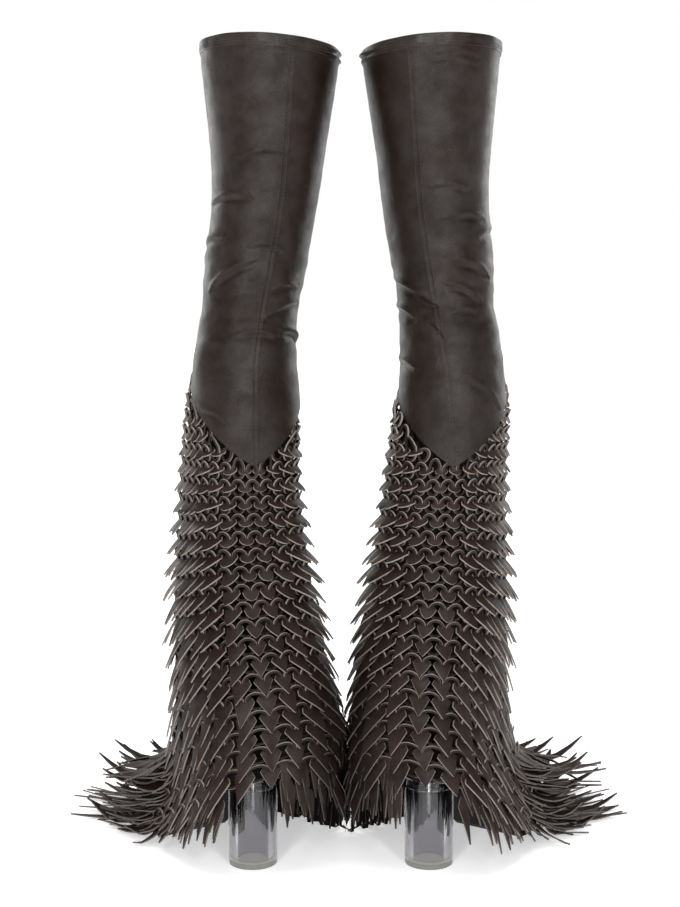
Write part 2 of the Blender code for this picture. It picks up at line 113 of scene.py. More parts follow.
# the bell's own surface, under the tails: it lies a little inside the CAD tiers' faces.
# level, centre ahead, reaches to the back and to the toes, then for the left and for the
# right boot the centre's distance from the middle of the pair and the reach to the side
BELL_AHEAD, BELL_BACK, BELL_FRONT, BELL_OUT, BELL_SIDE = 1, 2, 3, 4, 5
BELL_COLUMNS = {"left": [0, 1, 2, 3, 4, 5], "right": [0, 1, 2, 3, 6, 7]}
BELL = MM * np.array([
    (85, 34, 79, 185, 96, 86, 92, 85),
    (130, 32, 74.5, 154, 93, 75, 85, 72),
    (170, 31, 71.5, 123, 93.5, 73, 80, 67),
    (220, 30, 68.5, 96, 101, 69, 81.5, 66.5),
    (300, 31, 64.5, 83, 110, 61.5, 89, 62),
    (400, 33, 60.5, 73, 113.5, 51, 97, 52.5),
    (470, 37, 60.5, 66, 111, 53, 103.5, 54.5),
    (540, 46, 61, 64, 109, 55, 106.5, 56),
])
V_TIP, V_BLUNT = 0.417, 1.25
INNER_FLARE = 0.011
SEEDS = {"left": 11, "right": 12}


# ---- curves ----
def smooth(t):
    t = np.clip(t, 0.0, 1.0)
    return t * t * (3.0 - 2.0 * t)


def along(table, key, column):
    """Reads a column of a table at heights, on a smooth curve through its rows."""
    x, y = table[:, 0], table[:, column]
    last = len(x) - 1
    key = np.clip(key, x[0], x[-1])
    i = np.clip(np.searchsorted(x, key, side="right") - 1, 0, last - 1)
    low, high = np.maximum(np.arange(last + 1) - 1, 0), np.minimum(np.arange(last + 1) + 1, last)
    slope = (y[high] - y[low]) / (x[high] - x[low])
    span = x[i + 1] - x[i]
    t = (key - x[i]) / span
    return (
        y[i] * (1 + 2 * t) * (1 - t) ** 2
        + slope[i] * span * t * (1 - t) ** 2
        + y[i + 1] * t * t * (3 - 2 * t)
        - slope[i + 1] * span * t * t * (1 - t)
    )


def curve(value, *pairs):
    return np.interp(value, [p[0] for p in pairs], [p[1] for p in pairs])


def all_round(count):
    return TURN * np.arange(count) / count


def wrapped(angle):
    """Angles within half a turn of zero."""
    return (angle + pi) % TURN - pi


def unit(vectors):
    return vectors / np.maximum(np.linalg.norm(vectors, axis=-1, keepdims=True), 1e-12)


def opened(level):
    return smooth((V_LOW - level) / (V_LOW - MAIL_BACK_HEM))


def row_level(row):
    """The height at the back of a row of links; the pitch grows a little downwards."""
    even = (MAIL_TOP - MAIL_BACK_HEM) / ROWS
    return MAIL_TOP - even * row - 0.065 * even * row * (row - ROWS) / ROWS


def row_of(level):
    rows = np.linspace(0, ROWS, 501)
    return np.interp(-level, -row_level(rows), rows)


class Boot:
    """The surfaces of one boot, in metres from the middle of its heel on the floor."""

    def __init__(self, side):
        self.side, self.sign = side, SIDES[side]
        self.heel = HEEL_FROM_MIDDLE[side]
        low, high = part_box(f"{side}_heel")
        self.origin = np.array([(low.x + high.x) / 2, (low.y + high.y) / 2, 0.0])
        self.leg_table = LEG.copy()
        self.leg_table[OVER_HEEL_ROWS:, LEG_OUT] -= self.heel
        askew = np.exp(-((LEG[:, 0] - ASKEW_LEVEL) / ASKEW_SPREAD) ** 2)
        self.leg_table[:, LEG_OUT] += LEG_OUTWARDS[side] * askew
        self.inner_room = self.heel - self.sign * MEETING
        self.bell_table = BELL[:, BELL_COLUMNS[side]]
        self.bell_table[:, BELL_OUT] -= self.heel
        self.random = random.Random(SEEDS[side])

    def draws(self, count, low=-1.0, high=1.0):
        return np.array([self.random.uniform(low, high) for _ in range(count)])

    def world(self, plan):
        return self.origin + np.asarray(plan) * (self.sign, 1.0, 1.0)

    def leg(self, angle, z):
        """The leather leg: angle 0 is the middle of the back, positive turns outwards."""
        table = self.leg_table
        out = along(table, z, LEG_OUT) + along(table, z, LEG_WIDE) * np.sin(angle)
        ahead = along(table, z, LEG_AHEAD) - along(table, z, LEG_DEEP) * np.cos(angle)
        return np.stack(np.broadcast_arrays(out, ahead, z), -1)

    def seam(self, z):
        low = SEAM_TWIST_LOW[self.side]
        return -(low + (SEAM_TWIST_HIGH - low) * smooth((z - 0.43) / 0.22))

    def hem_edge(self, angle):
        return HEM_TOP + 0.003 * np.cos(angle) + 0.0042 * np.sin(angle)

    def v_edge(self, angle):
        """The leather's lower edge: a point at the back seam that rises to the shin."""
        turn = np.abs(wrapped(angle - self.seam(V_LOW)))
        return V_TIP + (V_HIGH - V_TIP) * np.sin(turn / 2) ** V_BLUNT

    def bell(self, share, level):
        """The bell of links: share 0..1 goes once round from the back, outwards first."""
        table = self.bell_table
        angle = TURN * share + COLUMN_DRIFT * opened(level) * np.sin(TURN * share)
        turn = angle - (pi - TOE_OUT)
        side, back, front = (along(table, level, k) for k in (BELL_SIDE, BELL_BACK, BELL_FRONT))
        reach = np.where(np.cos(turn) > 0, front, back)
        square = np.abs(np.cos(turn) / reach) ** BELL_SQUARE + np.abs(np.sin(turn) / side) ** BELL_SQUARE
        radius = square ** (-1 / BELL_SQUARE)
        to_toes = ((1 + np.cos(turn)) / 2) ** 1.2
        below = np.maximum(V_LOW - level, 0.0) / (V_LOW - MAIL_BACK_HEM)
        flare = INNER_FLARE * smooth((0.21 - level) / 0.1) * np.maximum(-np.sin(angle), 0) ** 1.5
        return np.stack([
            along(table, level, BELL_OUT) + radius * np.sin(angle) - flare,
            along(table, level, BELL_AHEAD) - radius * np.cos(angle),
            level - FRONT_DROP * below * to_toes,
        ], -1)

    def frame(self, surface, u, v, step=1e-3):
        """A surface's points, the ways across and up it, and its outward normals."""
        across = surface(u + step, v) - surface(u - step, v)
        up = surface(u, v + step) - surface(u, v - step)
        return surface(u, v), unit(across), unit(up), unit(np.cross(across, up))

    def below_edge(self, column, row):
        """How many rows a place on the lattice lies below the leather's edge."""
        return row - row_of(self.v_edge(TURN * column / COLUMNS))

    def tuck(self, column, row):
        """The first rows start under the leather's edge, inside the bell's surface."""
        return 0.0062 * np.exp(-np.maximum(self.below_edge(column, row) + 0.3, 0) / 1.2)

    def lattice(self, column, row, out):
        """Points on the lattice of links, moved outwards from the bell's surface."""
        point, _, _, normal = self.frame(self.bell, column / COLUMNS, row_level(row))
        return point + normal * (np.asarray(out) - self.tuck(column, row))[..., None]

    def apart(self, column, row, columns_on, rows_on):
        """Distances from places on the lattice to others, some columns and rows on."""
        here = self.lattice(column, row, 0 * column)
        there = self.lattice(column + columns_on, row + rows_on, 0 * column)
        return np.linalg.norm(there - here, axis=-1)

    def sole_half_width(self, s):
        """Half the width of the sole, some way ahead of the heel's middle."""
        half = 0.0255 - 0.0035 * smooth((s - 0.01) / 0.05) + 0.0195 * smooth((s - 0.065) / 0.065)
        for distance, reach in ((s + HEEL_RADIUS, HEEL_RADIUS), (TOE_END - s, 0.066)):
            left = np.maximum(1 - distance / reach, 0.0)
            half = half * np.sqrt(np.maximum(1 - left * left, 0.0))
        return half

    def sole_bottom(self, s):
        slope = 1 - smooth((s - HEEL_RADIUS) / 0.102)
        return (HEEL_TOP + 0.0003) * slope + 0.006 * smooth((s - 0.165) / 0.04)

    def foot_place(self, ahead, across, z):
        out = ahead * sin(TOE_OUT) + across * cos(TOE_OUT)
        return np.stack([out, ahead * cos(TOE_OUT) - across * sin(TOE_OUT), z], -1)

    def foot(self, share, height):
        """The foot's upper: share goes round the sole from the back, height 0..1 goes up."""
        share = share % 1.0
        way = 1 - np.abs(2 * share - 1)  # 0 at the heel, 1 at the toe
        s = -HEEL_RADIUS + (TOE_END + HEEL_RADIUS) * (0.5 - 0.5 * np.cos(pi * way))
        w = np.where(share < 0.5, 1.0, -1.0) * self.sole_half_width(s)
        base = self.foot_place(s, w, self.sole_bottom(s) + SOLE_THICK + 0.0009)
        toe = smooth((s - 0.05) / 0.13)
        wall = base + UP * (0.034 - 0.006 * toe)[..., None]
        ankle = self.leg(TURN * share - TOE_OUT, np.full(share.shape, ANKLE_TOP))
        t = np.clip((height - 0.3) / 0.7, 0, 1)[..., None]
        low = np.clip(height / 0.3, 0, 1)[..., None]
        over = wall * (1 - t) + ankle * t + UP * (0.01 * toe)[..., None] * np.sin(pi * t)
        return np.where(t > 0, over, base * (1 - low) + wall * low)


# ---- materials ----
DEEP_SHADE = (0.003, 0.002, 0.002, 1)
MATT_RELIEF = 0.0002


def new_material(name):
    made = bpy.data.materials.new(name)
    made.use_nodes = True
    return made, made.node_tree.nodes["Principled BSDF"], made.node_tree


def fill(node, values):
    """Sets a node's inputs: outputs of other nodes are linked, anything else is a value."""
    for name, value in values.items():
        if isinstance(value, bpy.types.NodeSocket):
            node.id_data.links.new(value, node.inputs[name])
        else:
            node.inputs[name].default_value = value


def add_node(tree, kind, values):
    node = tree.nodes.new("ShaderNode" + kind)
    fill(node, values)
    return node


def place_in(tree, kind="Object"):
    return add_node(tree, "TexCoord", {}).outputs[kind]


def split(tree, vector):
    """A vector's X, Y and Z."""
    return add_node(tree, "SeparateXYZ", {"Vector": vector}).outputs


def object_noise(tree, scale, detail=3.0, roughness=0.55):
    return add_node(tree, "TexNoise", {
        "Vector": place_in(tree), "Scale": scale, "Detail": detail, "Roughness": roughness,
    }).outputs["Fac"]


def mixed_colours(tree, share, first, second):
    mix = add_node(tree, "Mix", {})
    mix.data_type = "RGBA"
    fill(mix, {"Factor": share, "A": first, "B": second})
    return mix.outputs["Result"]


def mixed(tree, factor, first, second, low=0.3, high=0.7):
    """A colour or number that runs from first to second over a range of the factor."""
    ramp = add_node(tree, "MapRange", {"Value": factor, "From Min": low, "From Max": high})
    ramp.interpolation_type = "SMOOTHSTEP"
    if isinstance(first, tuple):
        return mixed_colours(tree, ramp.outputs["Result"], (*first, 1), (*second, 1))
    fill(ramp, {"To Min": first, "To Max": second})
    return ramp.outputs["Result"]


def math_node(tree, operation, *values):
    node = tree.nodes.new("ShaderNodeMath")
    node.operation = operation
    for place, value in zip(node.inputs, values):
        tree.links.new(value, place)
    return node.outputs["Value"]


def with_painted_inner_shade(tree, colour, amount):
    """A colour with painted shade: darker low down on the inner sides, where the bells touch and little
    light reaches.
    """
    place = split(tree, place_in(tree))
    inner = mixed(tree, math_node(tree, "ABSOLUTE", place["X"]), 1.0, 0.0, 0.004, 0.06)
    low = mixed(tree, place["Z"], 1.0, 0.0, 0.17, 0.34)
    share = mixed(tree, math_node(tree, "MULTIPLY", inner, low), 0.0, amount, 0.0, 1.0)
    return mixed_colours(tree, share, colour, DEEP_SHADE)


def bump(tree, shader, height, strength, distance):
    node = add_node(tree, "Bump", {"Height": height, "Strength": strength, "Distance": distance})
    fill(shader, {"Normal": node.outputs["Normal"]})


def leather(name, dark, light, roughness, grain=900.0, depth=0.00012, gloss=(0.2, 0.4)):
    """Grained leather: fine pebbles, soft colour clouds, uneven gloss and painted shade low on the inner
    sides.
    """
    made, shader, tree = new_material(name)
    clouds = mixed(tree, object_noise(tree, 26.0, 4.0), dark, light)
    fill(shader, {
        "Base Color": with_painted_inner_shade(tree, clouds, 0.6),
        "Roughness": mixed(tree, object_noise(tree, 60.0), roughness - 0.05, roughness + 0.06),
        "Specular IOR Level": mixed(tree, object_noise(tree, 38.0, 5.0, 0.65), *gloss),
    })
    pebbles = add_node(tree, "TexVoronoi", {"Vector": place_in(tree), "Scale": grain})
    bump(tree, shader, pebbles.outputs["Distance"], 0.55, depth)
    return made


def matt(name, dark, light, roughness, scale, strength=0.3, glow=None, gloss=0.5):
    """Cut leather edges, suede, thread, board and rubber: a matt, uneven surface with painted shade low on
    the inner sides, and for the lift a painted glow.
    """
    made, shader, tree = new_material(name)
    tone = object_noise(tree, scale, 4.0, 0.6)
    fill(shader, {
        "Base Color": with_painted_inner_shade(tree, mixed(tree, tone, dark, light), 0.8),
        "Roughness": roughness,
        "Specular IOR Level": gloss,
    })
    bump(tree, shader, tone, strength, MATT_RELIEF)
    if glow is not None:  # painted light: the lift glows, most on its top, standing for light that the clear heel would pass to it
        facing = add_node(tree, "NewGeometry", {}).outputs["Normal"]
        fill(shader, {
            "Emission Color": (*glow, 1),
            "Emission Strength": mixed(tree, split(tree, facing)["Z"], 0.5, 1.9, 0.2, 0.8),
        })
    return made


def steel(name, tone, roughness):
    made, shader, tree = new_material(name)
    marks = object_noise(tree, 420.0, 2.0)
    fill(shader, {
        "Base Color": (tone, tone, tone * 1.01, 1),
        "Metallic": 1.0,
        "Roughness": mixed(tree, marks, roughness - 0.06, roughness + 0.08),
    })
    return made


def knit(name):
    """Fine ribbed stretch knit."""
    made, shader, tree = new_material(name)
    wave = add_node(tree, "TexWave", {"Vector": place_in(tree), "Scale": 260.0, "Distortion": 1.5})
    wave.bands_direction = "Z"
    ribs = wave.outputs["Fac"]
    fill(shader, {
        "Base Color": mixed(tree, ribs, (0.008, 0.007, 0.0065), (0.018, 0.016, 0.015)),
        "Roughness": 0.9,
        "Specular IOR Level": 0.15,
    })
    bump(tree, shader, ribs, 0.5, 0.0003)
    return made


def acrylic(name):
    """Clear cast acrylic with a faint haze in its gloss."""
    made, shader, tree = new_material(name)
    haze = object_noise(tree, 90.0, 2.0)
    fill(shader, {
        "Base Color": (0.5, 0.49, 0.52, 1),
        "Transmission Weight": 1.0,
        "IOR": 1.49,
        "Roughness": mixed(tree, haze, 0.008, 0.03),
    })
    return made


SHAFT = leather("shaft_nappa", (0.0084, 0.0044, 0.0031), (0.0122, 0.0066, 0.0048), 0.38,
                grain=950.0, depth=0.0004, gloss=(0.15, 0.31))
HEM = leather("hem_nappa", (0.009, 0.0052, 0.0038), (0.016, 0.0098, 0.0076), 0.41,
              grain=1300.0, depth=0.0001, gloss=(0.14, 0.42))
LINK = leather("link_grain", (0.0105, 0.0048, 0.0034), (0.0205, 0.0108, 0.008), 0.52,
               grain=1100.0, depth=0.00014, gloss=(0.1, 0.28))
RAW = matt("link_cut_edge", (0.138, 0.113, 0.097), (0.25, 0.214, 0.188), 0.85, 900.0)
WORN = matt("fringe_cut_edge", (0.05, 0.041, 0.037), (0.13, 0.11, 0.1), 0.85, 700.0)
LINING = matt("suede_back", (0.004, 0.0028, 0.0024), (0.0075, 0.0055, 0.0048), 0.95, 700.0,
              gloss=0.1)
THREAD = matt("seam_thread", (0.018, 0.0135, 0.011), (0.034, 0.027, 0.023), 0.6, 1500.0)
VAMP = leather("vamp_suede", (0.005, 0.0032, 0.0027), (0.0085, 0.0058, 0.005), 0.85,
               grain=700.0, gloss=(0.05, 0.15))
KNIT = knit("stretch_knit")
GRIP = matt("grip_silicone", (0.022, 0.022, 0.022), (0.034, 0.034, 0.034), 0.55, 300.0)
CLEAR = acrylic("cast_acrylic")
# the lift's glow is painted light, brighter on its top, standing for light through the clear heel
LIFT = matt("lift_rubber", (0.07, 0.072, 0.062), (0.095, 0.097, 0.085), 0.42, 240.0, 0.1,
            glow=(0.215, 0.213, 0.19))
SOLE = leather("sole_leather", (0.01, 0.008, 0.007), (0.016, 0.013, 0.011), 0.6, grain=600.0,
               gloss=(0.05, 0.15))
BOARD = matt("insole_fibre", (0.26, 0.19, 0.12), (0.36, 0.27, 0.18), 0.9, 500.0)
FIBRE = matt("stiffener_felt", (0.32, 0.25, 0.17), (0.42, 0.33, 0.23), 0.9, 600.0)
SOCK = leather("sock_leather", (0.1, 0.075, 0.06), (0.14, 0.11, 0.09), 0.6, grain=800.0)
SHANK = steel("shank_spring_steel", 0.5, 0.38)
SCREW = steel("zinc_screw", 0.6, 0.3)

CAD_LOOKS = {
    "heel": CLEAR, "top_lift": LIFT, "heel_screw": SCREW, "outsole": SOLE, "shank": SHANK,
    "insole_board": BOARD, "sock_lining": SOCK, "heel_counter": FIBRE, "toe_puff": FIBRE,
}


# ---- making pieces ----
def add_object(name, data):
    made = bpy.data.objects.new(name, data)
    bpy.context.scene.collection.objects.link(made)
    return made


def piece(name, boot, points, faces, looks, look_of_face, sharp=None):
    """A boot's mesh from plan points. The left boot mirrors them, so its faces are turned."""
    name = f"{boot.side}_{name}"
    faces = [tuple(int(i) for i in face) for face in faces]
    if boot.sign < 0:
        faces = [face[::-1] for face in faces]
    mesh = bpy.data.meshes.new(name)
    mesh.from_pydata(boot.world(points).tolist(), [], faces)
    mesh.update()
    for look in looks:
        mesh.materials.append(look)
    mesh.polygons.foreach_set("material_index", np.asarray(look_of_face, dtype=np.int32))
    mesh.shade_smooth()
    if sharp is not None:
        mesh.set_sharp_from_angle(angle=radians(sharp))
    return add_object(name, mesh)


def shell(name, boot, outer, inner, looks):
    """A ring-shaped leather wall between two grids of points, its rows running upwards."""
    rows, columns = outer.shape[:2]
    count = rows * columns
    points = np.concatenate([outer.reshape(-1, 3), inner.reshape(-1, 3)])
    index = np.arange(count).reshape(rows, columns)
    following = np.roll(index, -1, axis=1)
    face = np.stack([index[:-1], following[:-1], following[1:], index[1:]], -1).reshape(-1, 4)
    low = np.stack([following[0], index[0], index[0] + count, following[0] + count], -1)
    top = np.stack([index[-1], following[-1], following[-1] + count, index[-1] + count], -1)
    faces = np.concatenate([face, face[:, ::-1] + count, low, top])
    look_of_face = np.concatenate([
        np.zeros(len(face)), np.ones(len(face)), np.full(len(low) + len(top), 2)
    ])
    return piece(name, boot, points, faces.tolist(), looks, look_of_face, sharp=60)


# ---- links ----
RING_SIDES = 16
RING_BAND, RING_THICK, RING_LEAN = 0.0031, 0.0015, radians(20)
RING_STAND = 0.0002
RING_REACH = 0.54  # from a ring's middle up and down, in rows
RING_JOIN = 1.12  # rings nearer than this to the leather reach up to it
DOUBLE_UP = 0.0017  # from a row's last ring to its double
LEAF_THICK, LEAF_STEPS = 0.0014, 9
LEAF_ABOVE = 0.3  # shoulder above the cusp, in rows
LEAF_OUT, BEHIND_OUT, FRINGE_OUT = -0.0028, -0.0046, -0.003
LEAF_WIDEST, LEAF_NARROWEST = 0.0225, 0.0007
CHAMFER, RIM = 0.00045, 0.00075
FLOOR = 0.001
FRINGE_ROW, FRINGE_STEP, FRINGE_LAYERS = 20.5, 0.25, 18
BOX_OVER, BOX_SOFT = 0.002, 0.008  # past the CAD box, at most their sum


def cusps(row):
    """Column positions where neighbouring links meet; the wide front takes extra columns."""
    half = COLUMNS // 2
    front = half if row < 9 else (half + 4 if row < 17 else half + 10)
    back = [-half / 2 + i for i in range(half)]
    return np.array(back + [half / 2 + half * i / front for i in range(front)])


def gaps(row):
    """The middles and half widths of the gaps between a row's neighbouring cusps."""
    meet = cusps(row)
    after = np.append(meet[1:], meet[0] + COLUMNS)
    return (meet + after) / 2, (after - meet) / 2


def tube(stations, looks, closed=False, capped=False):
    """Faces and looks of a tube through stations of points: one look for each of its sides."""
    size = len(looks)
    spans = stations if closed else stations - 1
    faces = []
    for k in range(spans):
        a, b = k * size, (k + 1) % stations * size
        for i in range(size):
            j = (i + 1) % size
            if capped and i >= size // 2:  # the same diagonals as in front
                faces.append((a + j, a + i, b + i, b + j))
            else:
                faces.append((a + i, b + i, b + j, a + j))
    looks = list(looks) * spans
    if capped:  # two quads at each end
        end = size * (stations - 1)
        faces += [(0, 1, 4, 5), (1, 2, 3, 4)]
        faces += [(end + 1, end, end + 5, end + 4), (end + 2, end + 1, end + 4, end + 3)]
        looks += [1] * 4
    return np.array(faces), np.array(looks)


# looks round a ring: front grain, inner cut edge and back dark suede, outer cut edge raw; the inner cut
# edge's dark suede is painted shade
RING_TUBE = tube(RING_SIDES, (0, 2, 2, 1), closed=True)
LEAF_TUBE = tube(LEAF_STEPS, (0, 0, 1, 2, 2, 1), capped=True)
# the tails behind the rings are dark suede on every face: painted shade in the gaps between the links
PAINTED_SHADE_LEAF_TUBE = LEAF_TUBE[0], np.full(len(LEAF_TUBE[1]), 2)


def over_heel(row):
    """The last row stops beside the heel: how many columns a row leaves free on each side."""
    return 2.6 if row == ROWS - 1 else 0.0


def make_rings(boot, row, free):
    """The rings of one row: annuli whose tops lean outwards."""
    middle, half = gaps(row)
    hang = boot.below_edge(middle, row + 0.5)
    keep = (hang > 0.12) & (np.abs(middle) >= free)
    middle, half, hang = middle[keep], half[keep], hang[keep]
    if not len(middle):
        return np.zeros((0, 4 * RING_SIDES, 3))
    top_reach = np.where(hang < RING_JOIN, hang + 0.18, RING_REACH)[:, None]
    angle = all_round(RING_SIDES)
    wide = 2 * boot.apart(middle, row + 0.5, 0.5, 0.0)
    tall = 2 * boot.apart(middle, row + 0.5, 0.0, 0.5)
    wobble = boot.draws(3 * len(middle)).reshape(-1, 3)
    across, down = np.cos(angle)[None], -np.sin(angle)[None]
    lean = (RING_LEAN + radians(4) * wobble[:, :1]) * np.clip(hang - 0.4, 0.1, 1.0)[:, None]
    turn = wrapped(TURN * middle / COLUMNS - boot.seam(V_LOW))
    slant = np.sign(turn) * smooth(np.abs(turn) / 0.3) * np.clip(hang - 0.5, 0, 0.62) * 1.5
    slant = np.where(hang < RING_JOIN, slant, 0)[:, None]
    stations = []
    for band, deep in ((RIM, RING_THICK), (RING_BAND, RING_THICK), (RING_BAND, 0.0), (0.0, 0.0)):
        x = across * (half - band / wide)[:, None]
        y = down * (np.where(down < 0, top_reach, RING_REACH) - band / tall[:, None])
        out = RING_STAND + deep + 0.0004 * wobble[:, 1:2]
        out = out - np.tan(lean) * np.clip(y, -0.6, 1) * tall[:, None]
        shift = 0.02 * wobble[:, 2:3] * (y + 0.5) + slant * np.maximum(-y - 0.3, 0)
        stations.append(boot.lattice(middle[:, None] + x + shift, row + 0.5 + y, out))
    return np.stack(stations, 2).reshape(len(middle), -1, 3)


def leaf_shape(boot, row, columns):
    """Length, lean and sideways swing of a row's tails. They are short and hang straight at
    the back seam, and get longer and sweep outwards round the sides."""
    angle = TURN * columns / COLUMNS
    turn = wrapped(angle - boot.seam(V_LOW))
    away = np.abs(turn)
    aside = smooth((away - radians(3)) / radians(42))
    middle = curve(row, (0, 0.005), (8, 0.0056), (12, 0.0085), (16, 0.013), (19, 0.018), (24, 0.018))
    side = curve(row, (0, 0.007), (4, 0.009), (8, 0.015), (12, 0.026), (16, 0.035), (20, 0.042), (24, 0.05))
    from_back = np.abs(angle) % TURN
    front = smooth((from_back - 1.3) / 0.8) * smooth((5.0 - from_back) / 0.8)
    length = middle + (side - middle) * aside + front * curve(row, (15, 0), (20, 0.02), (24, 0.036))
    hang = boot.lattice(columns, row + 0.5, 0 * columns)[:, 2] - 0.022 - 0.004 * np.maximum(np.sin(angle), 0)
    length = np.where(front < 0.5, np.minimum(length, np.maximum(hang, 0.014)), length)
    lean = np.radians(curve(row, (0, 24), (8, 28), (14, 27), (19, 24), (24, 20)))
    lean = lean + aside * np.radians(curve(row, (0, 0), (6, 8), (12, 8), (18, -6), (24, -10)))
    lean = lean * (1 - 0.6 * front * curve(row, (12, 0), (17, 1)))
    swing = np.radians(curve(row, (0, 60), (5, 58), (9, 50), (14, 40), (19, 26), (24, 12)))
    ends = smooth(away / radians(30)) * (1 - smooth((away - 0.55) / 0.95))
    droop = 0.35 + 0.6 * front * curve(row, (12, 0), (18, 1))
    return length, lean, np.sign(turn) * swing * ends, droop


def leaf_outline(below, long, taper, widest):
    """Half the width of tails along their length: short ones are rounded, long ones pointed."""
    rounded = np.maximum(1 - below ** 3.0, 0) ** 0.6
    pointed = (1 - below) ** taper
    half = widest[:, None] * (rounded * (1 - long) + pointed * long)
    half[:, 0] *= 0.2
    half[:, 1] *= 0.7
    return np.maximum(half, LEAF_NARROWEST)


def leaf_body(path, ways, across, half, long, twist):
    """Six points round each place on the tails' paths: three outer ones, three inner ones."""
    side = across[:, None] + 0 * ways
    face = unit(np.cross(side, -ways))
    square = unit(np.cross(-ways, face))
    sheared = (0.85 - 0.55 * long)[..., None]
    side = unit(side * sheared + square * (1 - sheared))
    side, face = (
        side * np.cos(twist) + face * np.sin(twist),
        face * np.cos(twist) - side * np.sin(twist),
    )
    half = half[..., None]
    crown = 0.1 * half
    inset = np.minimum(CHAMFER, 0.4 * half)
    points = np.stack([
        path - side * (half - inset) + face * LEAF_THICK,
        path + face * (LEAF_THICK + crown),
        path + side * (half - inset) + face * LEAF_THICK,
        path + side * half,
        path + face * crown,
        path - side * half,
    ], 2).reshape(len(path), -1, 3)
    points[..., 2] = np.maximum(points[..., 2], FLOOR)
    return points


def make_leaves(boot, row, columns, shape, start_out, width=0.49, above=LEAF_ABOVE, wild=1.0,
                sweep=None, taper=0.82):
    """Tails that hang from places on the lattice: each follows a path that droops and then
    slides along the floor. A tail with a sweep curves outwards, level with the floor."""
    count = len(columns)
    if not count:
        return np.zeros((0, 6 * LEAF_STEPS, 3))
    length, lean, swing, droop = shape
    wobble = wild * boot.draws(5 * count).reshape(count, 5)
    cusp = row + 0.5
    top = cusp - above + 0 * columns
    origin, across, up, normal = boot.frame(boot.bell, columns / COLUMNS, row_level(top))
    tall = boot.apart(columns, cusp, 0.0, -above)
    total = (tall + length * (1 + 0.08 * wobble[:, 2]))[:, None]
    long = np.maximum(smooth((length - 0.012) / 0.02), smooth((row - 11.0) / 6.0))[:, None]
    widest = width * np.minimum(boot.apart(columns - 0.5, cusp, 1.0, 0.0), LEAF_WIDEST)
    tall = tall[:, None]
    lean = (lean + radians(4) * wobble[:, 0])[:, None]
    swing = (swing + radians(5) * wobble[:, 1])[:, None]
    shoulders = (tall + 0.0004) * np.array([0.0, 0.42, 1.0])
    shares = np.linspace(0, 1, LEAF_STEPS - 2)[1:]
    places = np.concatenate([shoulders, tall + (total - tall) * shares], 1)
    below = np.clip((places - tall) / (total - tall), 0, 1)
    half = leaf_outline(below, long, taper, widest)

    point = origin + normal * (start_out - boot.tuck(columns, top))[:, None]
    flat_out = unit(normal * (1, 1, 0))
    outer = np.maximum(flat_out[:, :1], 0)  # the outer side's tails sweep to the toes
    flat_out = unit(flat_out + 0.9 * outer * np.array([sin(TOE_OUT), cos(TOE_OUT), 0.0]))
    aside = wobble[:, 4:5] * across * (1, 1, 0)
    curl = 0.5 + 0.5 * wobble[:, 3:4]
    path, ways = [point], []
    for k in range(1, LEAF_STEPS):
        turned = swing * (0.0 if k < 2 else (0.6 if k == 2 else 1.0))
        start = np.cos(lean) * (across * np.sin(turned) - up * np.cos(turned)) + np.sin(lean) * normal
        step = (places[:, k] - places[:, k - 1])[:, None]
        fall = np.clip(droop[:, None] * np.maximum(places[:, k - 1:k] - tall, 0) / 0.05, 0, 0.92)
        way = unit(start * (1 - fall) - UP * fall)
        gone = places[:, k:k + 1] / total
        if sweep is not None:
            level = smooth(1.25 * gone) * sweep[:, None]
            rise = UP * 0.75 * curl ** 3 * smooth((gone - 0.5) / 0.5)
            way = unit(way * (1 - level) + (unit(flat_out + 0.55 * aside) + rise) * level)
        ahead = point + way * step
        drop = np.minimum(FLOOR + LEAF_THICK * 0.5 - point[:, 2], 0)[:, None]
        slide = np.sqrt(np.maximum(step ** 2 - drop ** 2, 0))
        tip_up = smooth((gone - 0.55) / 0.45) * curl ** 2
        lying = point + unit(flat_out + 0.5 * aside) * slide + UP * (drop + step * 0.75 * tip_up)
        on_floor = (ahead[:, 2] < FLOOR + LEAF_THICK * 0.5)[:, None]
        following = np.where(on_floor, lying, ahead)
        ways.append(unit(following - point))
        point = following
        path.append(point)
    ways = np.stack(ways[:1] + ways, 1)
    twist = (radians(14 if sweep is None else 38) * wobble[:, 3:4] * below ** 1.2)[..., None]
    return leaf_body(np.stack(path, 1), ways, across, half, long, twist)


def in_box(boot, tails):
    """Tails that would reach far out of the CAD model's box are drawn in, heights kept."""
    limits = FRAME_SIZE[1][0] - abs(boot.origin[0]), FRAME_SIZE[1][1] - boot.origin[1]
    for axis, limit in enumerate(limits):
        root = tails[:, :1, :2]
        reach = (tails[..., axis] - root[..., axis]).max(1)
        room = limit + BOX_OVER - tails[:, 0, axis]
        over = np.maximum(reach - room, 0)
        drawn_in = room + BOX_SOFT * (1 - np.exp(-over / BOX_SOFT))
        shorter = np.where(over > 0, drawn_in / np.maximum(reach, 1e-6), 1)
        tails[..., :2] = root + (tails[..., :2] - root) * shorter[:, None, None]
    return tails


def gather(parts):
    """Joins (points of many copies, template faces, template looks) into one mesh."""
    points, faces, looks, base = [], [], [], 0
    for copies, (face, look) in parts:
        count, size = copies.shape[:2]
        if not count:
            continue
        points.append(copies.reshape(-1, 3))
        offsets = base + size * np.arange(count)
        faces.append((face[None] + offsets[:, None, None]).reshape(-1, 4))
        looks.append(np.tile(look, count))
        base += count * size
    return np.concatenate(points), np.concatenate(faces), np.concatenate(looks)


def keep_apart(boot, points):
    """The two bells press softly against each other, along a wavy plane between them."""
    ahead, z = points[:, 1], points[:, 2]
    wave = 0.0055 * np.sin(88 * ahead + 50 * z) + 0.003 * np.sin(190 * z + 40 * ahead)
    wave = wave * smooth((0.3 - z) / 0.12)
    limit = PAIR_CLEAR - boot.inner_room + boot.sign * wave
    over = np.minimum(points[:, 0] - limit - PRESS, 0)
    points[:, 0] = np.where(over < 0, limit + PRESS * np.exp(over / PRESS), points[:, 0])
    return points


